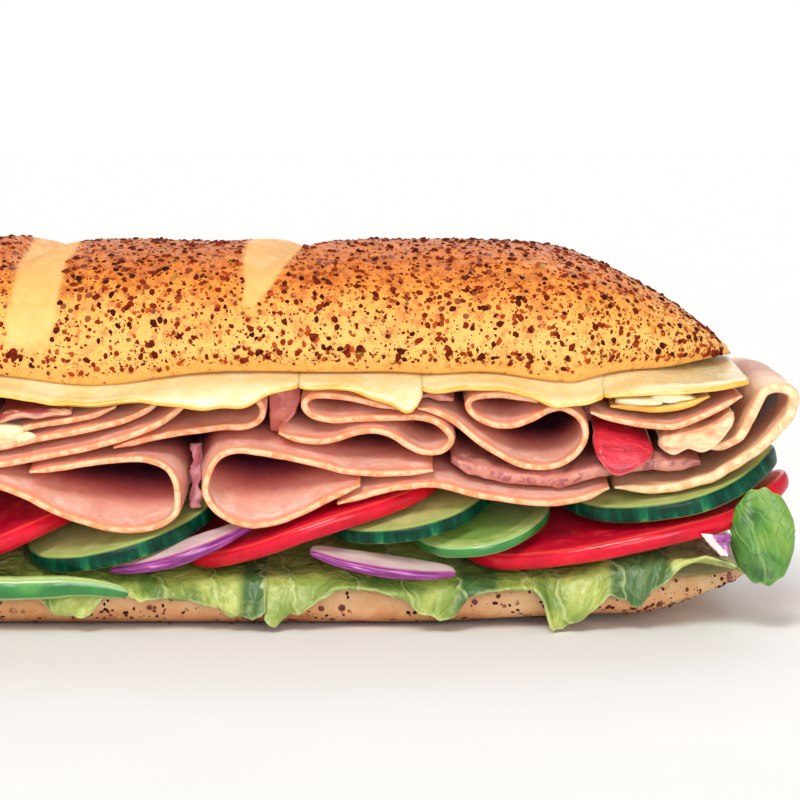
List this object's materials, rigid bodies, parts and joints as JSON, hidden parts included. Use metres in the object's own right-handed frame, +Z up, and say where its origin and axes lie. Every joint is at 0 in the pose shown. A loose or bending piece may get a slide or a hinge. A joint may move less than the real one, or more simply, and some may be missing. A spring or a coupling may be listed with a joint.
{
  "type": "submarine sandwich",
  "caption": "Long seasoned roll, split and filled with lettuce, tomato, cucumber, onion, green pepper, folded ham, turkey, bacon and cheese, resting on its flat underside.",
  "frame": {"origin": "middle of the sandwich's bounding box on plan, on the underside that it rests on", "axes": "+X along the loaf towards the end that the picture shows, -Y towards the viewer, +Z up"},
  "size_m": [0.3358, 0.0904, 0.0901],
  "materials": {
    "crust": "baked golden crust, dry and slightly blistered, with dark seasoning",
    "base_crust": "pale baked crust, dry, with dark red seasoning",
    "cheese": "sliced cheese, smooth and waxy",
    "ham": "moist sliced ham, soft sheen",
    "turkey": "moist sliced turkey, soft sheen",
    "roast": "moist layered cooked meat",
    "bacon": "cooked cured meat, greasy sheen",
    "tomato": "wet cut tomato with smooth skin",
    "cucumber": "wet pale flesh with dark green skin",
    "onion": "wet translucent onion with purple skin",
    "pepper": "crisp wet green pepper with glossy skin",
    "lettuce": "thin crisp leaf with a soft sheen"
  },
  "bodies": {
    "root": {"bacon_1": "bacon", "bacon_2": "bacon", "bread_bottom": "base_crust", "bread_top": "crust", "cheese_1": "cheese", "cheese_2": "cheese", "cheese_3": "cheese", "cheese_4": "cheese", "cheese_5": "cheese", "cheese_6": "cheese", "cheese_7": "cheese", "cucumber_1": "cucumber", "cucumber_2": "cucumber", "cucumber_3": "cucumber", "cucumber_4": "cucumber", "cucumber_5": "cucumber", "cucumber_6": "cucumber", "cucumber_7": "cucumber", "cucumber_8": "cucumber", "ham_1": "ham", "ham_2": "ham", "ham_3": "ham", "ham_4": "ham", "ham_5": "ham", "ham_6": "ham", "ham_7": "ham", "ham_8": "ham", "ham_9": "ham", "ham_10": "ham", "ham_11": "ham", "ham_12": "ham", "ham_13": "ham", "ham_14": "ham", "ham_15": "ham", "ham_16": "ham", "lettuce_1": "lettuce", "lettuce_2": "lettuce", "lettuce_3": "lettuce", "lettuce_4": "lettuce", "lettuce_5": "lettuce", "onion_1": "onion", "onion_2": "onion", "onion_3": "onion", "pepper_1": "pepper", "pepper_2": "pepper", "roast_1": "roast", "roast_2": "roast", "roast_3": "roast", "tomato_1": "tomato", "tomato_2": "tomato", "tomato_3": "tomato", "tomato_4": "tomato", "tomato_5": "tomato", "tomato_6": "tomato", "tomato_7": "tomato", "tomato_8": "tomato", "turkey_1": "turkey", "turkey_2": "turkey", "turkey_3": "turkey", "turkey_4": "turkey"}
  },
  "joints": []
}
